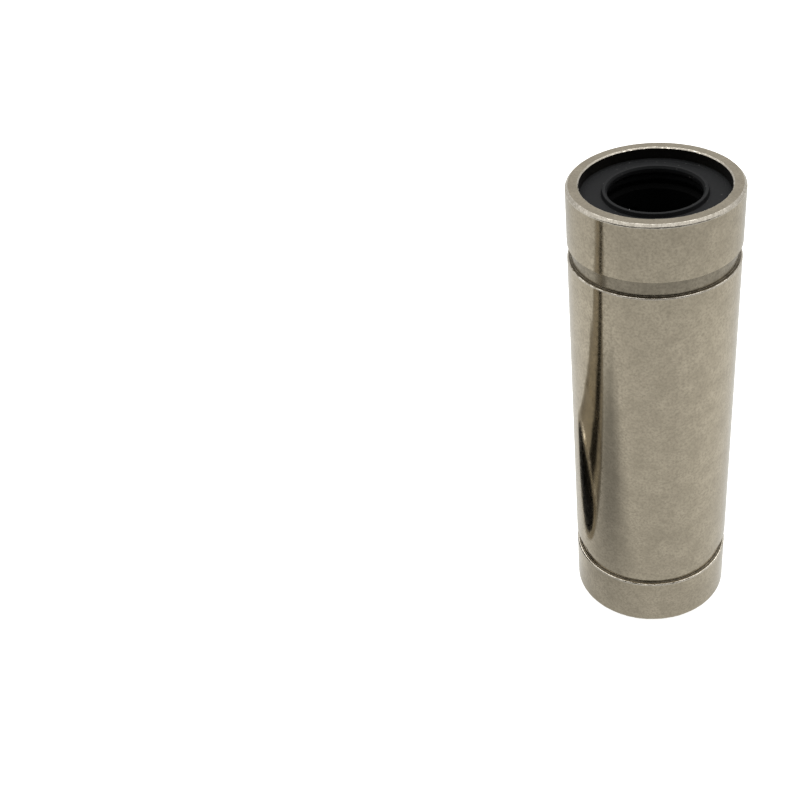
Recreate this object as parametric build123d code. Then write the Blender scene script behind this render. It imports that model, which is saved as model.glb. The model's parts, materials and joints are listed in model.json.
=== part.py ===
from build123d import *
import math
import os

os.makedirs("parts", exist_ok=True)

# Outer cylinder
OUTER_R = 7.5
LENGTH = 45.0
EDGE_CHAMFER = 0.25
RING_GROOVE_WIDTH = 1.5
RING_GROOVE_FLOOR_R = 7.15
RING_GROOVE_OUTER_SPAN = 34.6
COUNTERBORE_R = 6.35
MOUTH_R = 6.45
MOUTH_DEPTH = 0.1
RACEWAY_R = 5.62
RELIEF_R = 6.34
RELIEF_ARC = 24.0

# End stack, measured inwards from each end face
SEAL_FACE_DEPTH = 1.0
LIP_FACE_DEPTH = 0.65
SEAL_BACK_DEPTH = 2.0
SIDE_RING_BACK_DEPTH = 2.5

# Seal
LIP_R = 4.0
LIP_CREST_R = 4.1
LIP_SHOULDER_R = 4.38
LIP_FOOT_R = 4.5
LIP_EDGE_DEPTH = 0.75
LIP_HEEL_DEPTH = 1.15
SEAL_UNDERCUT_R = 4.45
STIFFENER_INNER_R = 4.7
STIFFENER_OUTER_R = 6.0
STIFFENER_THICKNESS = 0.4

# Side ring
SIDE_RING_INNER_R = 4.7
SIDE_RING_OUTER_R = 6.6
SIDE_RING_GROOVE_R = 6.65
SIDE_RING_GAP = 1.2

# Ball retainer
RETAINER_BORE_R = 4.2
RETAINER_OUTER_R = 5.55
COLLAR_R = 6.3
COLLAR_LENGTH = 1.1
RETAINER_LEAD_IN = 0.3
RETAINER_LENGTH = 20.0
CHANNEL_R = 0.824

# Ball circuits
BALL_R = 0.794
CIRCUITS = 4
FIRST_CIRCUIT_AZIMUTH = 54.0
LOAD_ROW_R = 4.794
PLANE_TILT = 4.0
ROW_SPACING = 2.4
TURN_R = ROW_SPACING / 2
BALL_PITCH = 1.65
BALLS_PER_ROW = 8
ROW_LENGTH = BALL_PITCH * BALLS_PER_ROW
TURN_BALL_ANGLES = (45.0, 135.0)

CIRCUIT_CENTRE_Z = SIDE_RING_BACK_DEPTH + RETAINER_LENGTH / 2
TILT = math.radians(PLANE_TILT)
RETURN_X = LOAD_ROW_R + ROW_SPACING * math.sin(TILT)
RETURN_Y = ROW_SPACING * math.cos(TILT)
RETURN_AZIMUTH = math.degrees(math.atan2(RETURN_Y, RETURN_X))
OWN_ORIGIN = (Align.NONE, Align.NONE, Align.CENTER)


def circuit_azimuth(circuit):
    """The azimuth of a circuit's load row in the lower retainer."""
    return FIRST_CIRCUIT_AZIMUTH + 360 / CIRCUITS * circuit


def ring(outer_r, inner_r, z0, z1):
    """A plain ring between two heights on the bushing's axis."""
    height = z1 - z0
    body = Cylinder(outer_r, height) - Cylinder(inner_r, 2 * height)
    return Pos(0, 0, (z0 + z1) / 2) * body


def disc(radius, z0, z1):
    """A plain cylinder between two heights on the bushing's axis."""
    return Pos(0, 0, (z0 + z1) / 2) * Cylinder(radius, z1 - z0)


def turned(points):
    """A solid turned about the axis from a closed (radius, height) outline."""
    face = make_face(Polyline(*[(r, 0, z) for r, z in points], close=True))
    return revolve(face, Axis.Z)


def to_top(body):
    """The same piece turned end over end, at the other end of the bushing."""
    return Pos(0, 0, LENGTH) * Rot(180, 0, 0) * body


def ring_groove(z0):
    """The ring of steel taken out for an outside retaining ring."""
    return ring(OUTER_R + 1, RING_GROOVE_FLOOR_R, z0, z0 + RING_GROOVE_WIDTH)


def raceway_relief(circuit):
    """The sector cleared over one return row, beside its raceway."""
    start = circuit_azimuth(circuit) + RETURN_AZIMUTH - RELIEF_ARC / 2
    wedge = Cylinder(RELIEF_R, ROW_LENGTH, arc_size=RELIEF_ARC, align=OWN_ORIGIN)
    return Pos(0, 0, CIRCUIT_CENTRE_Z) * Rot(0, 0, start) * wedge


def end_opening():
    """The counterbore, its chamfered mouth and the side ring's groove."""
    groove = disc(SIDE_RING_GROOVE_R, SEAL_BACK_DEPTH, SIDE_RING_BACK_DEPTH)
    bore = disc(COUNTERBORE_R, -1, SIDE_RING_BACK_DEPTH)
    slope = (MOUTH_R - COUNTERBORE_R) / MOUTH_DEPTH
    mouth = Cone(MOUTH_R + slope, COUNTERBORE_R, MOUTH_DEPTH + 1)
    return groove + bore + Pos(0, 0, (MOUTH_DEPTH - 1) / 2) * mouth


def outer_cylinder():
    body = disc(OUTER_R, 0, LENGTH)
    body = chamfer(body.edges().filter_by(GeomType.CIRCLE), EDGE_CHAMFER)
    first = (LENGTH - RING_GROOVE_OUTER_SPAN) / 2
    body -= ring_groove(first)
    body -= ring_groove(LENGTH - first - RING_GROOVE_WIDTH)
    body -= disc(RACEWAY_R, -1, LENGTH + 1)
    body -= end_opening()
    body -= to_top(end_opening())
    row_start = CIRCUIT_CENTRE_Z - ROW_LENGTH / 2
    row_end = CIRCUIT_CENTRE_Z + ROW_LENGTH / 2
    outer_relief = disc(RELIEF_R, SIDE_RING_BACK_DEPTH, row_start)
    body -= outer_relief
    body -= to_top(outer_relief)
    body -= disc(RELIEF_R, row_end, LENGTH - row_end)
    for circuit in range(CIRCUITS):
        relief = raceway_relief(circuit)
        body -= relief
        body -= to_top(relief)
    return body


def seal():
    """The rubber end seal: a flat disc with a raised lip round the shaft hole."""
    pocket = SEAL_BACK_DEPTH - STIFFENER_THICKNESS
    return turned([
        (COUNTERBORE_R, SEAL_FACE_DEPTH),
        (LIP_FOOT_R, SEAL_FACE_DEPTH),
        (LIP_SHOULDER_R, LIP_FACE_DEPTH),
        (LIP_CREST_R, LIP_FACE_DEPTH),
        (LIP_R, LIP_EDGE_DEPTH),
        (LIP_R, LIP_HEEL_DEPTH),
        (SEAL_UNDERCUT_R, pocket),
        (SEAL_UNDERCUT_R, SEAL_BACK_DEPTH),
        (STIFFENER_INNER_R, SEAL_BACK_DEPTH),
        (STIFFENER_INNER_R, pocket),
        (STIFFENER_OUTER_R, pocket),
        (STIFFENER_OUTER_R, SEAL_BACK_DEPTH),
        (COUNTERBORE_R, SEAL_BACK_DEPTH),
    ])


def stiffener():
    """The steel washer bonded into the back of the seal."""
    front = SEAL_BACK_DEPTH - STIFFENER_THICKNESS
    return ring(STIFFENER_OUTER_R, STIFFENER_INNER_R, front, SEAL_BACK_DEPTH)


def side_ring():
    """The split steel ring that snaps into the shell and holds the retainer."""
    body = ring(SIDE_RING_OUTER_R, SIDE_RING_INNER_R, SEAL_BACK_DEPTH, SIDE_RING_BACK_DEPTH)
    gap = Box(4, SIDE_RING_GAP, 4)
    return body - Pos(-SIDE_RING_OUTER_R, 0, SEAL_BACK_DEPTH) * gap


def circuit_plane(circuit):
    """A circuit's own plane: x across its rows, y up, origin on the load row."""
    turn = Rot(0, 0, circuit_azimuth(circuit))
    across = (math.sin(TILT), math.cos(TILT), 0)
    normal = (math.cos(TILT), -math.sin(TILT), 0)
    plane = Plane(origin=(LOAD_ROW_R, 0, 0), x_dir=across, z_dir=normal)
    return turn * plane.location


def row_points():
    """Heights of one straight row's balls about the circuit's middle."""
    start = (BALL_PITCH - ROW_LENGTH) / 2
    return [start + BALL_PITCH * i for i in range(BALLS_PER_ROW)]


def channel():
    """One circuit's running channel: two straights joined by two half turns."""
    row = Rot(90, 0, 0) * Cylinder(CHANNEL_R, ROW_LENGTH)
    turn = Torus(TURN_R, CHANNEL_R, major_angle=180, align=OWN_ORIGIN)
    body = row + Pos(ROW_SPACING, 0, 0) * row
    body += Pos(TURN_R, ROW_LENGTH / 2, 0) * turn
    body += Pos(TURN_R, -ROW_LENGTH / 2, 0) * Rot(0, 0, 180) * turn
    return body


def retainer():
    """The lower ball retainer, its collar towards the bushing's lower end."""
    low = SIDE_RING_BACK_DEPTH
    high = low + RETAINER_LENGTH
    body = disc(RETAINER_OUTER_R, low, high) + disc(COLLAR_R, low, low + COLLAR_LENGTH)
    body -= disc(RETAINER_BORE_R, low - 1, high + 1)
    mouth = Cone(RETAINER_BORE_R + RETAINER_LEAD_IN, RETAINER_BORE_R, RETAINER_LEAD_IN)
    body -= Pos(0, 0, low + RETAINER_LEAD_IN / 2) * mouth
    for circuit in range(CIRCUITS):
        body -= Pos(0, 0, CIRCUIT_CENTRE_Z) * circuit_plane(circuit) * channel()
    return body


def balls(circuit, points):
    """A train of separate balls at points in the circuit's own plane."""
    base = Pos(0, 0, CIRCUIT_CENTRE_Z) * circuit_plane(circuit)
    train = [base * Pos(x, y, 0) * Sphere(BALL_R) for x, y in points]
    return Compound(children=[ball.solid() for ball in train])


def turn_points(direction):
    """Ball places round the inner (1) or outer (-1) turn of a circuit."""
    points = []
    for angle in TURN_BALL_ANGLES:
        a = math.radians(angle)
        across = TURN_R - TURN_R * math.cos(a)
        points.append((across, direction * (ROW_LENGTH / 2 + TURN_R * math.sin(a))))
    return points


def circuit_trains(circuit):
    """The four ball trains of one circuit in the lower retainer."""
    return {
        "load_balls": balls(circuit, [(0, y) for y in row_points()]),
        "return_balls": balls(circuit, [(ROW_SPACING, y) for y in row_points()]),
        "inner_turn_balls": balls(circuit, turn_points(1)),
        "outer_turn_balls": balls(circuit, turn_points(-1)),
    }


def write(name, body):
    """Write one piece under its node name."""
    body.label = name
    export_step(body, f"parts/{name}.step")


write("outer_cylinder", outer_cylinder())
write("retainer_lower", retainer())
write("retainer_upper", to_top(retainer()))
write("side_ring_bottom", side_ring())
write("side_ring_top", to_top(side_ring()))
write("seal_bottom", seal())
write("seal_top", to_top(seal()))
write("seal_stiffener_bottom", stiffener())
write("seal_stiffener_top", to_top(stiffener()))
for circuit in range(CIRCUITS):
    for train, body in circuit_trains(circuit).items():
        write(f"circuit_lower_{circuit + 1}_{train}", body)
        write(f"circuit_upper_{circuit + 1}_{train}", to_top(body))
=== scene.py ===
import json
import math
import random
import bmesh
import bpy
from mathutils import Matrix, Vector

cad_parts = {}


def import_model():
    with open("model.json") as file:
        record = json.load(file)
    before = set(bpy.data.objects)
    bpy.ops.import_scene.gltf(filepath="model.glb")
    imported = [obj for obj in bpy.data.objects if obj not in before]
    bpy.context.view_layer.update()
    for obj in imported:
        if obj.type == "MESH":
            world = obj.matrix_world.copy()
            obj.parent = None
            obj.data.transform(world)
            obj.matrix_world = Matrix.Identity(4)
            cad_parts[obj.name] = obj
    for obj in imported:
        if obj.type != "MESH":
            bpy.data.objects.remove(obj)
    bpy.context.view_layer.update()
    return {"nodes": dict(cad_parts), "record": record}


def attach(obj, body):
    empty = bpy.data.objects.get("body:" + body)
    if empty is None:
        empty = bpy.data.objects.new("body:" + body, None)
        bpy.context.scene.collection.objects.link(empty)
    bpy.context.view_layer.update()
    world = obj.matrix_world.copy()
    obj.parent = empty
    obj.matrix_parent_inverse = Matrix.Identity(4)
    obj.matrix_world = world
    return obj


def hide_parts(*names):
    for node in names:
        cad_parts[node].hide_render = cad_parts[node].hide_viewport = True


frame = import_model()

# Sizes in millimetres, metres to a millimetre, and angles in degrees
MM = 0.001
LENGTH = 45.0
BODY = "bushing"

# Outer cylinder. The visual radius is a hair under the CAD's 7.5, so no unevenness passes it
OUTER_R = 7.495
LOWER_EDGE_R, LOWER_EDGE_Z = 7.25, 0.25
UPPER_EDGE_R, UPPER_EDGE_Z = 7.27, 44.77
RING_GROOVE_R = 7.15
LOWER_GROOVE = (5.2, 6.7)
UPPER_GROOVE = (38.3, 39.8)
MOUTH_R = 6.45
MOUTH_DEPTH = 0.1
RECESS_R = 6.35
RING_SEAT_R = 6.65
RING_SEAT = (2.0, 2.5)
RELIEF_R = 6.34
RACEWAY_R = 5.62
LOWER_RACEWAY = (5.9, 19.1)
UPPER_RACEWAY = (25.9, 39.1)
SHELL_SEGMENTS = 288

# Ball circuits
CIRCUITS = 4
FIRST_CIRCUIT_AZIMUTH = 54
RETURN_ROW_X = 4.9614
RETURN_ROW_Y = 2.3942
RELIEF_ARC = 24
BALL_R = 0.794

# Seals, with depths measured from the end face
LIP_R = 4.0
UNDERCUT_R = 4.45
WASHER_INNER_R = 4.7
WASHER_OUTER_R = 6.0
SEAL_FACE = 1.0
STEP_FACE = 1.035
POCKET_FACE = 1.6
SEAL_BACK = 2.0
SEAL_SEGMENTS = 192

# Heights of the bumps in the materials, in metres
POLISH_BUMP = 0.00001
GRIT_BUMP = 0.000003
MOULD_BUMP = 0.00002
MATT_BUMP = 0.000004

# Meshes: points closer than this are one point, in metres, and edges sharper than this are creases
SAME_POINT = 1e-8
CREASE_DEG = 28

# The materials of the outer cylinder, in the order of its slots
PLATED, EDGE, GROOVE, INNER, CORNER = range(5)
HIDDEN = ("inside", "upper", "lower")


# ---------------------------------------------------------------- outlines
def rounded(corners, arc=5, support=0.05):
    """A (radius, height) outline with its corners rounded. Each corner is (r, z, rounding, label)."""
    most_cut, most_hold = 0.45, 0.05
    out = []
    n = len(corners)
    for i, (r, z, rho, label) in enumerate(corners):
        if rho <= 0:
            out.append((r, z, label))
            continue
        p = Vector((r, z))
        a = Vector(corners[i - 1][:2]) - p
        b = Vector(corners[(i + 1) % n][:2]) - p
        turn = math.pi - a.angle(b)
        cut = min(rho * math.tan(turn / 2), most_cut * a.length, most_cut * b.length)
        start = p + a.normalized() * cut
        end = p + b.normalized() * cut
        hold = min(support, most_hold * a.length, most_hold * b.length)
        out.append((*(start + a.normalized() * hold), label))
        for k in range(arc + 1):
            t = k / arc
            q = (1 - t) ** 2 * start + 2 * t * (1 - t) * p + t ** 2 * end
            out.append((q.x, q.y, label))
        out.append((*(end + b.normalized() * hold), label))
    return out


def wave(seed, amount, lowest=5, highest=140, count=26):
    """A small seeded unevenness round a turned edge, as a function of azimuth."""
    rnd = random.Random(seed)
    terms = []
    for _ in range(count):
        f = int(round(math.exp(rnd.uniform(math.log(lowest), math.log(highest)))))
        terms.append((f, rnd.uniform(0, 2 * math.pi), rnd.uniform(0.4, 1.0)))
    scale = amount / math.sqrt(sum(w * w for _, _, w in terms) / 2) / 2
    return lambda a: scale * sum(w * math.sin(f * a + ph) for f, ph, w in terms)


def finish_mesh(bm, name, materials, crease_deg=CREASE_DEG):
    """Turns a bmesh into an object with smooth faces and sharp creases."""
    bmesh.ops.remove_doubles(bm, verts=bm.verts, dist=SAME_POINT)
    bmesh.ops.dissolve_degenerate(bm, edges=bm.edges, dist=SAME_POINT)
    bmesh.ops.recalc_face_normals(bm, faces=bm.faces)
    limit = math.radians(crease_deg)
    for f in bm.faces:
        f.smooth = True
    for e in bm.edges:
        e.smooth = e.calc_face_angle(0.0) < limit
    mesh = bpy.data.meshes.new(name)
    bm.to_mesh(mesh)
    bm.free()
    for m in materials:
        mesh.materials.append(m)
    obj = bpy.data.objects.new(name, mesh)
    bpy.context.scene.collection.objects.link(obj)
    return obj


def lathe(name, rings, azimuths, materials):
    """A closed turned mesh from rings of (radius, height, material index).

    Radius and height are functions of the column's number and its azimuth.
    """
    bm = bmesh.new()
    grid = []
    for radius, height, _ in rings:
        row = []
        for k, a in enumerate(azimuths):
            r, z = radius(k, a), height(k, a)
            row.append(bm.verts.new((r * MM * math.cos(a), r * MM * math.sin(a), z * MM)))
        grid.append(row)
    n, m = len(rings), len(azimuths)
    for i in range(n):
        j = (i + 1) % n
        for k in range(m):
            q = (k + 1) % m
            face = bm.faces.new((grid[i][k], grid[i][q], grid[j][q], grid[j][k]))
            face.material_index = rings[i][2]
    return finish_mesh(bm, name, materials)


def even(count):
    """Evenly spaced azimuths round a full turn."""
    return [2 * math.pi * k / count for k in range(count)]


def steady(value):
    """A radius or height for lathe() that is the same all the way round."""
    return lambda k, a: value


def rippled(value, ripple, lowest=-math.inf, highest=math.inf):
    """A radius or height for lathe() with a ripple round it, kept between two limits."""
    return lambda k, a: min(highest, max(lowest, value + ripple(a)))


# ---------------------------------------------------------------- materials
def new_material(name):
    """A material with its nodes cleared down to one Principled shader."""
    m = bpy.data.materials.new(name)
    m.use_nodes = True
    nt = m.node_tree
    nt.nodes.clear()
    out = nt.nodes.new("ShaderNodeOutputMaterial")
    bsdf = nt.nodes.new("ShaderNodeBsdfPrincipled")
    nt.links.new(bsdf.outputs["BSDF"], out.inputs["Surface"])
    return m, nt, bsdf


def noise(nt, scale, detail=3.0, rough=0.55):
    """A noise texture in object space."""
    coord = nt.nodes.new("ShaderNodeTexCoord")
    tex = nt.nodes.new("ShaderNodeTexNoise")
    tex.inputs["Scale"].default_value = scale
    tex.inputs["Detail"].default_value = detail
    tex.inputs["Roughness"].default_value = rough
    nt.links.new(coord.outputs["Object"], tex.inputs["Vector"])
    return tex.outputs["Fac"]


def remap(nt, value, a, b, lo, hi):
    """value from a..b to lo..hi, clamped."""
    node = nt.nodes.new("ShaderNodeMapRange")
    node.inputs["From Min"].default_value = a
    node.inputs["From Max"].default_value = b
    node.inputs["To Min"].default_value = lo
    node.inputs["To Max"].default_value = hi
    nt.links.new(value, node.inputs["Value"])
    return node.outputs["Result"]


def times(nt, a, b):
    """Two values multiplied; the second may be a plain number."""
    node = nt.nodes.new("ShaderNodeMath")
    node.operation = "MULTIPLY"
    nt.links.new(a, node.inputs[0])
    if isinstance(b, float):
        node.inputs[1].default_value = b
    else:
        nt.links.new(b, node.inputs[1])
    return node.outputs[0]


def vector_math(nt, operation, vector, output):
    """A vector's length or direction, taken from the named output."""
    node = nt.nodes.new("ShaderNodeVectorMath")
    node.operation = operation
    nt.links.new(vector, node.inputs[0])
    return node.outputs[output]


def mix_shader(nt, factor, plain, other):
    """One shader where the factor is 0 and another where it is 1."""
    node = nt.nodes.new("ShaderNodeMixShader")
    nt.links.new(factor, node.inputs["Fac"])
    nt.links.new(plain, node.inputs[1])
    nt.links.new(other, node.inputs[2])
    return node.outputs[0]


def mix_color(nt, factor, c0, c1):
    """A colour between two, each given as a tuple or a socket."""
    node = nt.nodes.new("ShaderNodeMix")
    node.data_type = "RGBA"
    nt.links.new(factor, node.inputs["Factor"])
    for socket, c in ((node.inputs["A"], c0), (node.inputs["B"], c1)):
        if isinstance(c, tuple):
            socket.default_value = (*c, 1.0)
        else:
            nt.links.new(c, socket)
    return node.outputs["Result"]


def bump(nt, bsdf, height, strength, distance, below=None):
    """A bump into the shader, on top of another bump's normal."""
    node = nt.nodes.new("ShaderNodeBump")
    node.inputs["Strength"].default_value = strength
    node.inputs["Distance"].default_value = distance
    nt.links.new(height, node.inputs["Height"])
    if below:
        nt.links.new(below, node.inputs["Normal"])
    nt.links.new(node.outputs["Normal"], bsdf.inputs["Normal"])
    return node.outputs["Normal"]


def metal(name, low, high, rough, cloud=620.0, grain=4400.0, wobble=0.5, grit=0.25, spread=0.05):
    """Plated steel: cloudy tone, fine grain and a soft unevenness of the polish."""
    m, nt, bsdf = new_material(name)
    bsdf.inputs["Metallic"].default_value = 1.0
    cloudy = noise(nt, cloud, 4.0, 0.6)
    grainy = noise(nt, grain, 2.0, 0.5)
    base = mix_color(nt, remap(nt, cloudy, 0.32, 0.68, 0.0, 1.0), low, high)
    dark = tuple(c * 0.82 for c in low)
    colour = mix_color(nt, remap(nt, grainy, 0.40, 0.72, 0.0, 0.75), base, dark)
    nt.links.new(colour, bsdf.inputs["Base Color"])
    nt.links.new(remap(nt, grainy, 0.3, 0.7, rough - spread, rough + spread), bsdf.inputs["Roughness"])
    slow = noise(nt, cloud * 0.9, 2.0, 0.5)
    polish = bump(nt, bsdf, slow, wobble, POLISH_BUMP)
    bump(nt, bsdf, grainy, grit, GRIT_BUMP, polish)
    return m


def rubber():
    """Moulded black rubber: fine matt grain, a soft cloudiness and specks of dust."""
    black, worn, dust = (0.0065, 0.007, 0.0077), (0.011, 0.0114, 0.0125), (0.16, 0.155, 0.15)
    m, nt, bsdf = new_material("seal_rubber_look")
    fine = noise(nt, 9000.0, 3.0, 0.6)
    cloudy = noise(nt, 500.0, 3.0, 0.5)
    base = mix_color(nt, remap(nt, cloudy, 0.3, 0.7, 0.0, 1.0), black, worn)
    specks = noise(nt, 2600.0, 1.0, 0.5)
    dusty = mix_color(nt, remap(nt, specks, 0.735, 0.77, 0.0, 0.3), base, dust)
    nt.links.new(dusty, bsdf.inputs["Base Color"])
    nt.links.new(remap(nt, cloudy, 0.3, 0.7, 0.54, 0.68), bsdf.inputs["Roughness"])
    bsdf.inputs["Specular IOR Level"].default_value = 0.14
    soft = bump(nt, bsdf, cloudy, 0.25, MOULD_BUMP)
    bump(nt, bsdf, fine, 0.35, MATT_BUMP, soft)
    return m


def resin():
    """Moulded black resin of the ball retainers, darkened further and with little sheen as painted shade
    inside the bore.
    """
    m, nt, bsdf = new_material("retainer_resin_painted_shade")
    fine = noise(nt, 6000.0, 3.0, 0.6)
    cloudy = noise(nt, 420.0, 2.0, 0.5)
    colour = mix_color(nt, cloudy, (0.002, 0.002, 0.0023), (0.004, 0.004, 0.0043))
    nt.links.new(colour, bsdf.inputs["Base Color"])
    nt.links.new(remap(nt, cloudy, 0.3, 0.7, 0.58, 0.72), bsdf.inputs["Roughness"])
    bsdf.inputs["Specular IOR Level"].default_value = 0.05
    bump(nt, bsdf, fine, 0.2, MATT_BUMP)
    return m


shell_look = metal(
    "plated_shell", (0.452, 0.402, 0.313), (0.572, 0.511, 0.402), 0.13, grit=0.5)
# edges, chamfers and burrs: the lighter colour is painted highlight; the rougher grain and stronger bumps
# are their machined finish
edge_highlight_look = metal(
    "shell_edges_painted_highlight", (0.58, 0.535, 0.455), (0.84, 0.79, 0.70), 0.20,
    cloud=3400.0, grain=7000.0, wobble=1.3, grit=1.0)
# the upper ring groove is darker than the plated body: painted shade in the groove
groove_shade_look = metal(
    "shell_ring_groove_painted_shade", (0.300, 0.268, 0.212), (0.380, 0.342, 0.272), 0.24, cloud=900.0)
# darker still in the corners of both ring grooves: painted shade in the creases
groove_corner_shade_look = metal(
    "shell_groove_corner_painted_shade", (0.150, 0.133, 0.105), (0.340, 0.303, 0.241), 0.30, cloud=2400.0)
# near-black inside of the shell, the recess wall under the mouth included: painted shade
inside_shade_look = metal(
    "shell_inside_painted_shade", (0.055, 0.051, 0.044), (0.085, 0.080, 0.070), 0.34, cloud=900.0)
# the seal stiffeners and side rings are steel painted near black: painted shade inside the bore
washer_shade_look = metal(
    "washer_steel_painted_shade", (0.020, 0.020, 0.021), (0.032, 0.032, 0.033), 0.45)
ring_shade_look = metal(
    "spring_steel_painted_shade", (0.016, 0.016, 0.018), (0.026, 0.026, 0.028), 0.45)
ball_look = metal(
    "polished_ball", (0.74, 0.74, 0.75), (0.80, 0.80, 0.81), 0.07,
    cloud=900.0, wobble=0.05, grit=0.05, spread=0.02)
rubber_look = rubber()
resin_look = resin()


# ---------------------------------------------------------------- outer cylinder
def shell_material(label, following, z):
    """Which of the shell's materials covers the band from one outline point to the next."""
    # the inside and the recess wall take painted shade
    if label in HIDDEN or following in HIDDEN:
        return INNER
    # bands running into a groove's corner take the darker painted shade
    if following == "groove":
        return CORNER
    # the upper groove takes painted shade; the lower groove stays plated
    if label in ("groove", "wall"):
        return GROOVE if z > LENGTH / 2 else PLATED
    # chamfers, mouth edges and burrs take the painted highlight
    if label == following and label in ("edge", "mouth", "burr"):
        return EDGE
    return PLATED


def relief_sectors():
    """The spans of azimuth, in degrees, cleared over the return rows of each retainer."""
    sectors = {"lower": [], "upper": []}
    half = RELIEF_ARC / 2
    beside = math.degrees(math.atan2(RETURN_ROW_Y, RETURN_ROW_X))
    for c in range(CIRCUITS):
        middle = FIRST_CIRCUIT_AZIMUTH + 360 / CIRCUITS * c + beside
        sectors["lower"].append((middle - half, middle + half))
        sectors["upper"].append((-middle - half, -middle + half))
    return sectors


def shell_columns(sectors):
    """The shell's azimuths, each with None or the (band, inside) it is told at a relief's edge."""
    gap = 1e-7
    columns = [(a, None) for a in even(SHELL_SEGMENTS)]
    for band, spans in sectors.items():
        for lo, hi in spans:
            for edge, inside_first in ((lo, False), (hi, True)):
                a = math.radians(edge) % (2 * math.pi)
                columns.append((a - gap, (band, inside_first)))
                columns.append((a + gap, (band, not inside_first)))
    return sorted(columns, key=lambda c: c[0])


def in_relief(spans, band, a, told):
    """Whether a column stands in one of a band's reliefs."""
    if told and told[0] == band:
        return told[1]
    deg = math.degrees(a)
    return any((deg - lo) % 360 < (hi - lo) for lo, hi in spans)


def shell():
    """The outer cylinder: rounded end edges, ring grooves, end bores, raceways and reliefs."""
    corners = [
        (LOWER_EDGE_R, 0.0, 0.06, "edge"), (OUTER_R, LOWER_EDGE_Z, 0.16, "edge"),
        (OUTER_R, LOWER_GROOVE[0], 0.16, "burr"), (RING_GROOVE_R, LOWER_GROOVE[0], 0.08, "groove"),
        (RING_GROOVE_R, LOWER_GROOVE[1], 0.06, "wall"), (OUTER_R, LOWER_GROOVE[1], 0.05, "lip"),
        (OUTER_R, UPPER_GROOVE[0], 0.12, "burr"), (RING_GROOVE_R, UPPER_GROOVE[0], 0.04, "groove"),
        (RING_GROOVE_R, UPPER_GROOVE[1], 0.04, "wall"), (OUTER_R, UPPER_GROOVE[1], 0.03, "lip"),
        (OUTER_R, UPPER_EDGE_Z, 0.20, "edge"), (UPPER_EDGE_R, LENGTH, 0.03, "edge"),
        (MOUTH_R, LENGTH, 0.03, "mouth"), (RECESS_R, LENGTH - MOUTH_DEPTH, 0.03, "mouth"),
        (RECESS_R, LENGTH - RING_SEAT[0], 0.0, "inside"),
        (RING_SEAT_R, LENGTH - RING_SEAT[0], 0.0, "inside"),
        (RING_SEAT_R, LENGTH - RING_SEAT[1], 0.0, "inside"),
        (RELIEF_R, LENGTH - RING_SEAT[1], 0.0, "inside"),
        (RELIEF_R, UPPER_RACEWAY[1], 0.0, "inside"), (RACEWAY_R, UPPER_RACEWAY[1], 0.0, "upper"),
        (RACEWAY_R, UPPER_RACEWAY[0], 0.0, "upper"), (RELIEF_R, UPPER_RACEWAY[0], 0.0, "inside"),
        (RELIEF_R, LOWER_RACEWAY[1], 0.0, "inside"), (RACEWAY_R, LOWER_RACEWAY[1], 0.0, "lower"),
        (RACEWAY_R, LOWER_RACEWAY[0], 0.0, "lower"), (RELIEF_R, LOWER_RACEWAY[0], 0.0, "inside"),
        (RELIEF_R, RING_SEAT[1], 0.0, "inside"), (RING_SEAT_R, RING_SEAT[1], 0.0, "inside"),
        (RING_SEAT_R, RING_SEAT[0], 0.0, "inside"), (RECESS_R, RING_SEAT[0], 0.0, "inside"),
        (RECESS_R, MOUTH_DEPTH, 0.03, "mouth"), (MOUTH_R, 0.0, 0.03, "mouth"),
    ]
    sectors = relief_sectors()
    columns = shell_columns(sectors)
    relief = {band: [in_relief(spans, band, a, told) for a, told in columns]
              for band, spans in sectors.items()}
    rough_r, rough_z = wave(3, 0.012), wave(4, 0.014)
    burr_r, burr_z = wave(5, 0.010, 8, 180), wave(6, 0.020, 8, 180)
    # the ripples leave the flat end faces, the plain cylinder, the recess and the groove's floor alone
    face_gap, burr_from, ripple_from, ripple_to = 0.003, 7.44, 6.36, 7.492
    rings = []
    outline = rounded(corners)
    for i, (r, z, label) in enumerate(outline):
        following = outline[(i + 1) % len(outline)][2]
        radius, height = steady(r), steady(z)
        on_edge = ripple_from < r < ripple_to and face_gap < z < LENGTH - face_gap
        if label in ("upper", "lower"):
            radius = lambda k, a, flags=relief[label]: RELIEF_R if flags[k] else RACEWAY_R
        elif label == "burr" and r > burr_from:
            radius = rippled(r, burr_r, highest=OUTER_R)
            height = rippled(z, burr_z)
        elif label in ("edge", "mouth") and on_edge:
            radius = rippled(r, rough_r, highest=OUTER_R)
            height = rippled(z, rough_z, 0.0, LENGTH)
        rings.append((radius, height, shell_material(label, following, z)))
    return lathe("outer_cylinder_shell", rings, [a for a, _ in columns],
                 [shell_look, edge_highlight_look, groove_shade_look, inside_shade_look, groove_corner_shade_look])


shell_obj = shell()
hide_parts("outer_cylinder")
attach(shell_obj, BODY)


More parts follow.
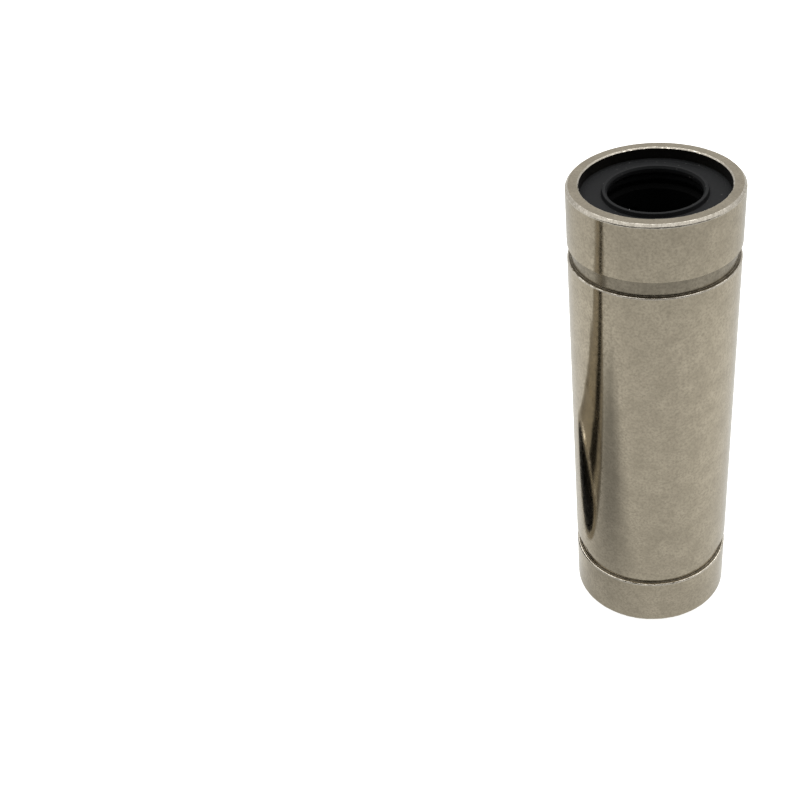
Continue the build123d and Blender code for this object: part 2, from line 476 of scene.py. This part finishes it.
# ---------------------------------------------------------------- seals
def seal(name, node, top):
    """The end seal: flat rubber disc, raised wiping lip and the pocket behind it."""
    corners = [
        (RECESS_R, SEAL_FACE, 0.03, "rim"), (5.95, SEAL_FACE, 0.02, "step"),
        (5.9, STEP_FACE, 0.02, "step"), (4.62, STEP_FACE, 0.06, "foot"),
        (4.5, SEAL_FACE, 0.03, "foot"), (4.39, 0.655, 0.05, "lip"),
        (4.14, 0.65, 0.025, "lip"), (LIP_R, 0.85, 0.05, "lip"),
        (LIP_R, 1.15, 0.03, "lip"), (UNDERCUT_R, POCKET_FACE, 0.0, "back"),
        (UNDERCUT_R, SEAL_BACK, 0.0, "back"), (WASHER_INNER_R, SEAL_BACK, 0.0, "back"),
        (WASHER_INNER_R, POCKET_FACE, 0.0, "back"), (WASHER_OUTER_R, POCKET_FACE, 0.0, "back"),
        (WASHER_OUTER_R, SEAL_BACK, 0.0, "back"), (RECESS_R, SEAL_BACK, 0.0, "back"),
    ]
    outline = rounded(corners, arc=4, support=0.02)
    if top:
        outline = [(r, LENGTH - z, label) for r, z, label in outline]
    ripple = wave(11 if top else 12, 0.006, 3, 60)
    rings = []
    for r, z, label in outline:
        height = rippled(z, ripple) if label == "lip" else steady(z)
        rings.append((steady(r), height, 0))
    obj = lathe(name, rings, even(SEAL_SEGMENTS), [rubber_look])
    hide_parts(node)
    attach(obj, BODY)


seal("seal_top_disc", "seal_top", True)
seal("seal_bottom_disc", "seal_bottom", False)


# ---------------------------------------------------------------- balls
def islands(mesh):
    """The middle of each separate ball of a CAD node, in metres."""
    bm = bmesh.new()
    bm.from_mesh(mesh)
    bmesh.ops.remove_doubles(bm, verts=bm.verts, dist=1e-7)
    seen, middles = set(), []
    for v in bm.verts:
        if v in seen:
            continue
        stack, group = [v], []
        seen.add(v)
        while stack:
            x = stack.pop()
            group.append(x.co.copy())
            for e in x.link_edges:
                y = e.other_vert(x)
                if y not in seen:
                    seen.add(y)
                    stack.append(y)
        lo = Vector([min(c[i] for c in group) for i in range(3)])
        hi = Vector([max(c[i] for c in group) for i in range(3)])
        middles.append((lo + hi) / 2)
    bm.free()
    return middles


def ball_train(node):
    """The balls of one CAD node, rebuilt round and smooth."""
    obj = frame["nodes"][node]
    bm = bmesh.new()
    for c in islands(obj.data):
        bmesh.ops.create_icosphere(bm, subdivisions=3, radius=BALL_R * MM, matrix=Matrix.Translation(c))
    made = finish_mesh(bm, node + "_round", [ball_look], 60)
    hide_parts(node)
    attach(made, frame_body[node])


frame_body = {n: b for b, ns in frame["record"]["behaviour"]["bodies"].items() for n in ns}
for node in sorted(frame["nodes"]):
    if node.endswith("_balls"):
        ball_train(node)


# ---------------------------------------------------------------- carried-over pieces
def repaint(node, material):
    """A new material on a CAD node, its mesh untouched."""
    obj = frame["nodes"][node]
    if not obj.material_slots:
        raise RuntimeError(node + " has no material slot")
    for s in obj.material_slots:
        s.material = material


for end in ("lower", "upper"):
    repaint("retainer_" + end, resin_look)
# side rings and stiffeners: near-black steel as painted shade inside the bore
for end in ("bottom", "top"):
    repaint("side_ring_" + end, ring_shade_look)
    repaint("seal_stiffener_" + end, washer_shade_look)


# ---------------------------------------------------------------- stage
def floor():
    """A plain pale floor: white to the camera, softer and uneven in mirror images, clear from below."""
    reach, drop = 3.0, 0.02 * MM
    mesh = bpy.data.meshes.new("floor")
    square = [(-reach, -reach, 0), (reach, -reach, 0), (reach, reach, 0), (-reach, reach, 0)]
    mesh.from_pydata(square, [], [(0, 1, 2, 3)])
    obj = bpy.data.objects.new("floor", mesh)
    # a hair below the bushing's foot, so the two faces never coincide
    obj.location.z = -drop
    bpy.context.scene.collection.objects.link(obj)
    m = bpy.data.materials.new("floor_paper")
    m.use_nodes = True
    nt = m.node_tree
    nt.nodes.clear()
    path = nt.nodes.new("ShaderNodeLightPath")
    coord = nt.nodes.new("ShaderNodeTexCoord").outputs["Object"]

    # to everything but the camera and mirrors it is paper; the camera sees it glow up to white
    paper = nt.nodes.new("ShaderNodeBsdfDiffuse")
    paper.inputs["Color"].default_value = (0.74, 0.735, 0.72, 1)
    glow = nt.nodes.new("ShaderNodeEmission")
    glow.inputs["Color"].default_value = (1, 1, 1, 1)
    glow.inputs["Strength"].default_value = 0.84
    seen = nt.nodes.new("ShaderNodeAddShader")
    nt.links.new(paper.outputs[0], seen.inputs[0])
    nt.links.new(glow.outputs[0], seen.inputs[1])

    # in mirror images it glows as painted light: darker in front and round the foot as painted shade, and
    # dimmer far away
    split = nt.nodes.new("ShaderNodeSeparateXYZ")
    nt.links.new(vector_math(nt, "NORMALIZE", coord, "Vector"), split.inputs[0])
    away = vector_math(nt, "LENGTH", coord, "Value")
    front = remap(nt, split.outputs["Y"], -1.0, 0.0, 0.68, 0.85)
    far = remap(nt, away, 0.055, 0.085, 1.0, 0.84)
    near = remap(nt, away, 0.010, 0.030, 0.94, 1.0)
    light = times(nt, times(nt, front, far), near)
    mirrored = nt.nodes.new("ShaderNodeEmission")
    mirrored.inputs["Color"].default_value = (1, 0.99, 0.955, 1)
    nt.links.new(times(nt, light, shade(nt, coord)), mirrored.inputs["Strength"])

    clear = nt.nodes.new("ShaderNodeBsdfTransparent")
    under = nt.nodes.new("ShaderNodeNewGeometry")
    surface = mix_shader(nt, path.outputs["Is Glossy Ray"], paper.outputs[0], mirrored.outputs[0])
    surface = mix_shader(nt, path.outputs["Is Camera Ray"], surface, seen.outputs[0])
    surface = mix_shader(nt, under.outputs["Backfacing"], surface, clear.outputs[0])
    out = nt.nodes.new("ShaderNodeOutputMaterial")
    nt.links.new(surface, out.inputs["Surface"])
    mesh.materials.append(m)


def shade(nt, coord):
    """The share of the mirrored floor's light left by the soft shadow beside the second bushing."""
    middle, heading_deg, half_size = (-25.5, -17.5, 0), 31, (24, 10)
    patch = nt.nodes.new("ShaderNodeMapping")
    patch.vector_type = "TEXTURE"
    patch.inputs["Location"].default_value = [v * MM for v in middle]
    patch.inputs["Rotation"].default_value = (0, 0, math.radians(heading_deg))
    patch.inputs["Scale"].default_value = (half_size[0] * MM, half_size[1] * MM, 1)
    nt.links.new(coord, patch.inputs["Vector"])
    reach = vector_math(nt, "LENGTH", patch.outputs["Vector"], "Value")
    return remap(nt, reach, 0.40, 1.25, 0.44, 1.0)


def neighbour():
    """A second bushing lying beside this one, seen only as its mirror image in the shell."""
    middle, heading_deg, stretch = (-14.4, 1.4, 7.5), 205.7, 1.35
    # a darker copy of the plated look: painted shade on the second bushing's mirror image
    shaded_copy_look = metal(
        "mirrored_shell_painted_shade", (0.390, 0.347, 0.270), (0.493, 0.440, 0.347), 0.13, grit=0.5)
    place = Matrix.Translation([v * MM for v in middle])
    place = place @ Matrix.Rotation(math.radians(heading_deg), 4, "Z")
    place = place @ Matrix.Rotation(math.radians(90), 4, "Y")
    place = place @ Matrix.Scale(stretch, 4, Vector((0, 0, 1)))
    for name in ("outer_cylinder_shell", "seal_top_disc", "seal_bottom_disc"):
        source = bpy.data.objects[name]
        copy = bpy.data.objects.new("mirrored_" + name, source.data)
        bpy.context.scene.collection.objects.link(copy)
        copy.matrix_world = place
        if name == "outer_cylinder_shell":
            copy.material_slots[PLATED].link = "OBJECT"
            copy.material_slots[PLATED].material = shaded_copy_look
        copy.visible_camera = False
        copy.visible_shadow = False
        copy.visible_diffuse = False


floor()
neighbour()


# ---------------------------------------------------------------- light
def world():
    """Soft studio surroundings: white to the eye, with a dim wall behind the camera in reflections."""
    # brightness against the angle from straight up, in degrees, towards the camera's side
    stops = [
        (-180, 0.62), (-95, 0.62), (-60, 0.60), (-20, 0.85), (43, 0.85),
        (50, 0.05), (84, 0.03), (89, 0.35), (180, 0.62),
    ]
    w = bpy.data.worlds.new("studio")
    bpy.context.scene.world = w
    w.use_nodes = True
    nt = w.node_tree
    nt.nodes.clear()
    path = nt.nodes.new("ShaderNodeLightPath")
    coord = nt.nodes.new("ShaderNodeTexCoord")
    split = nt.nodes.new("ShaderNodeSeparateXYZ")
    nt.links.new(coord.outputs["Generated"], split.inputs[0])
    lean = nt.nodes.new("ShaderNodeMath")
    lean.operation = "ARCTAN2"
    nt.links.new(times(nt, split.outputs["Y"], -1.0), lean.inputs[0])
    nt.links.new(split.outputs["Z"], lean.inputs[1])
    ramp = nt.nodes.new("ShaderNodeValToRGB")
    nt.links.new(remap(nt, lean.outputs[0], -math.pi, math.pi, 0.0, 1.0), ramp.inputs["Fac"])
    elements = ramp.color_ramp.elements
    while len(elements) > 1:
        elements.remove(elements[0])
    for i, (deg, v) in enumerate(stops):
        at = (deg + 180) / 360
        element = elements[0] if i == 0 else elements.new(at)
        element.position = at
        element.color = (v, v * 0.99, v * 0.97, 1)
    mirror = nt.nodes.new("ShaderNodeBackground")
    nt.links.new(ramp.outputs["Color"], mirror.inputs["Color"])
    white = nt.nodes.new("ShaderNodeBackground")
    white.inputs["Color"].default_value = (1, 1, 1, 1)
    surface = mix_shader(nt, path.outputs["Is Camera Ray"], mirror.outputs[0], white.outputs[0])
    out = nt.nodes.new("ShaderNodeOutputWorld")
    nt.links.new(surface, out.inputs["Surface"])


def softbox(name, lean_deg, distance, width, depth, power):
    """A soft rectangular lamp; lean is its angle from straight up, towards the camera's side."""
    data = bpy.data.lights.new(name, "AREA")
    data.shape = "RECTANGLE"
    data.size = width
    data.size_y = depth
    data.energy = power
    obj = bpy.data.objects.new(name, data)
    bpy.context.scene.collection.objects.link(obj)
    a = math.radians(lean_deg)
    away = Vector((0, -math.sin(a), math.cos(a)))
    obj.location = away * distance + Vector((0, 0, LENGTH / 2 * MM))
    obj.rotation_euler = away.to_track_quat("Z", "Y").to_euler()


world()
softbox("overhead_softbox", -18, 0.5, 0.62, 0.46, 1.9)


# ---------------------------------------------------------------- camera
def camera():
    """The camera at the viewing angle: above the front, the bushing towards the right of the frame."""
    distance, elevation = 112.831 * MM, math.radians(37.049)
    tilt, pan, roll = -0.036112, 0.127188, 0.014086
    data = bpy.data.cameras.new("camera")
    data.sensor_width = 36.0
    data.lens = 53.35
    data.shift_x = -0.125
    data.shift_y = 0.05
    data.clip_start, data.clip_end = 0.005, 20
    obj = bpy.data.objects.new("camera", data)
    bpy.context.scene.collection.objects.link(obj)
    back = Vector((0, -math.cos(elevation), math.sin(elevation)))
    look = back.to_track_quat("Z", "Y").to_matrix().to_4x4()
    turn = Matrix.Rotation(tilt, 4, "X") @ Matrix.Rotation(pan, 4, "Y") @ Matrix.Rotation(roll, 4, "Z")
    obj.matrix_world = Matrix.Translation(Vector((0, 0, LENGTH / 2 * MM)) + back * distance) @ look @ turn
    bpy.context.scene.camera = obj


camera()
bpy.context.scene.view_settings.view_transform = "Standard"
